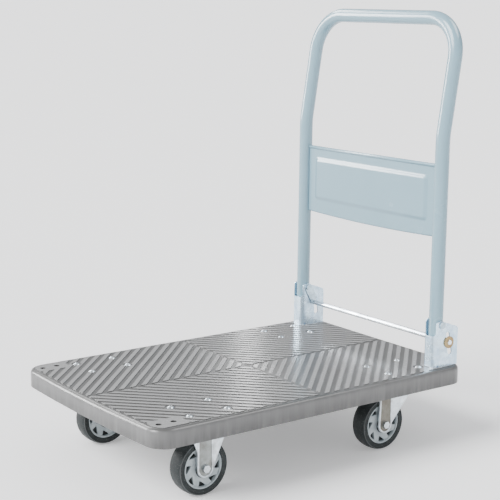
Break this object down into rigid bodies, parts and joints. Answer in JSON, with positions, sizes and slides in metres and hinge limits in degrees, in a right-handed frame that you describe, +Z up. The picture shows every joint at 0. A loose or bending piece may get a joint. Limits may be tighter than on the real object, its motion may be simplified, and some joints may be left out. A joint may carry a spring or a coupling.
{
  "type": "folding platform cart",
  "caption": "Moulded ribbed deck on casters, two fixed and two swivelling, with a tubular handle that folds flat over the deck and a foot-pressed release bar.",
  "frame": {"origin": "on the floor under the middle of the overall length and width", "axes": "+X to the handle end, the rear; -X to the bowed front; +Y to the right of the person pushing; +Z up"},
  "size_m": [0.7279, 0.48, 0.846],
  "materials": {
    "deck_plastic": "moulded grey plastic, softly glossy",
    "handle_paint": "glossy light blue-grey paint on steel",
    "bright_zinc": "bright bluish zinc plating",
    "yellow_zinc": "yellow zinc plating",
    "bare_steel": "ground and oiled steel",
    "tyre_rubber": "dark grey rubber",
    "rim_plastic": "moulded light grey plastic",
    "black_plastic": "moulded black plastic"
  },
  "bodies": {
    "root": {"bracket_bolts": "bright_zinc", "bracket_left": "bright_zinc", "bracket_nuts": "bright_zinc", "bracket_right": "bright_zinc", "caster_bolts": "bright_zinc", "caster_nuts": "bright_zinc", "deck": "deck_plastic", "front_axle_bolts": "bright_zinc", "front_axle_nuts": "bright_zinc", "front_axle_sleeves": "bright_zinc", "front_fork_left": "bright_zinc", "front_fork_right": "bright_zinc", "kingpin_left": "bright_zinc", "kingpin_right": "bright_zinc", "return_spring_left": "bare_steel", "return_spring_right": "bare_steel", "swivel_plate_left": "bright_zinc", "swivel_plate_right": "bright_zinc"},
    "handle": {"handle_tube": "handle_paint", "handle_panel": "handle_paint", "pivot_pins": "bright_zinc", "latch_plate_left": "bright_zinc", "latch_plate_right": "bright_zinc"},
    "release_bar": {"release_bar": "bright_zinc", "bar_washers": "yellow_zinc"},
    "swivel_left": {"rear_fork_left": "bright_zinc", "swivel_balls_left": "bare_steel", "rear_axle_bolt_left": "bright_zinc", "rear_axle_nut_left": "bright_zinc", "rear_axle_sleeve_left": "bright_zinc"},
    "wheel_front_left": {"tyre_front_left": "tyre_rubber", "rim_front_left": "rim_plastic", "bearings_front_left": "bare_steel", "dust_rings_front_left": "black_plastic"},
    "wheel_rear_left": {"tyre_rear_left": "tyre_rubber", "rim_rear_left": "rim_plastic", "bearings_rear_left": "bare_steel", "dust_rings_rear_left": "black_plastic"},
    "swivel_right": {"rear_fork_right": "bright_zinc", "swivel_balls_right": "bare_steel", "rear_axle_bolt_right": "bright_zinc", "rear_axle_nut_right": "bright_zinc", "rear_axle_sleeve_right": "bright_zinc"},
    "wheel_front_right": {"tyre_front_right": "tyre_rubber", "rim_front_right": "rim_plastic", "bearings_front_right": "bare_steel", "dust_rings_front_right": "black_plastic"},
    "wheel_rear_right": {"tyre_rear_right": "tyre_rubber", "rim_rear_right": "rim_plastic", "bearings_rear_right": "bare_steel", "dust_rings_rear_right": "black_plastic"}
  },
  "joints": [
    {"name": "handle_fold", "type": "hinge", "parent": "root", "child": "handle", "pos_m": [0.309, 0, 0.243], "axis": [0, -1, 0], "range_deg": [0, 90]},
    {"name": "release_press", "type": "slide", "parent": "root", "child": "release_bar", "axis": [0.2079, 0, -0.9781], "range_m": [0, 0.016], "stiffness_N_per_m": 800, "springref_m": -0.012, "deforming": ["return_spring_left", "return_spring_right"]},
    {"name": "swivel_turn_left", "type": "hinge", "parent": "root", "child": "swivel_left", "pos_m": [0.234, -0.1675, 0.122], "axis": [0, 0, 1], "continuous": true},
    {"name": "wheel_roll_front_left", "type": "hinge", "parent": "root", "child": "wheel_front_left", "pos_m": [-0.226, -0.1675, 0.0525], "axis": [0, 1, 0], "continuous": true},
    {"name": "wheel_roll_rear_left", "type": "hinge", "parent": "swivel_left", "child": "wheel_rear_left", "pos_m": [0.199, -0.1675, 0.0525], "axis": [0, 1, 0], "continuous": true},
    {"name": "swivel_turn_right", "type": "hinge", "parent": "root", "child": "swivel_right", "pos_m": [0.234, 0.1675, 0.122], "axis": [0, 0, 1], "continuous": true},
    {"name": "wheel_roll_front_right", "type": "hinge", "parent": "root", "child": "wheel_front_right", "pos_m": [-0.226, 0.1675, 0.0525], "axis": [0, 1, 0], "continuous": true},
    {"name": "wheel_roll_rear_right", "type": "hinge", "parent": "swivel_right", "child": "wheel_rear_right", "pos_m": [0.199, 0.1675, 0.0525], "axis": [0, 1, 0], "continuous": true}
  ]
}
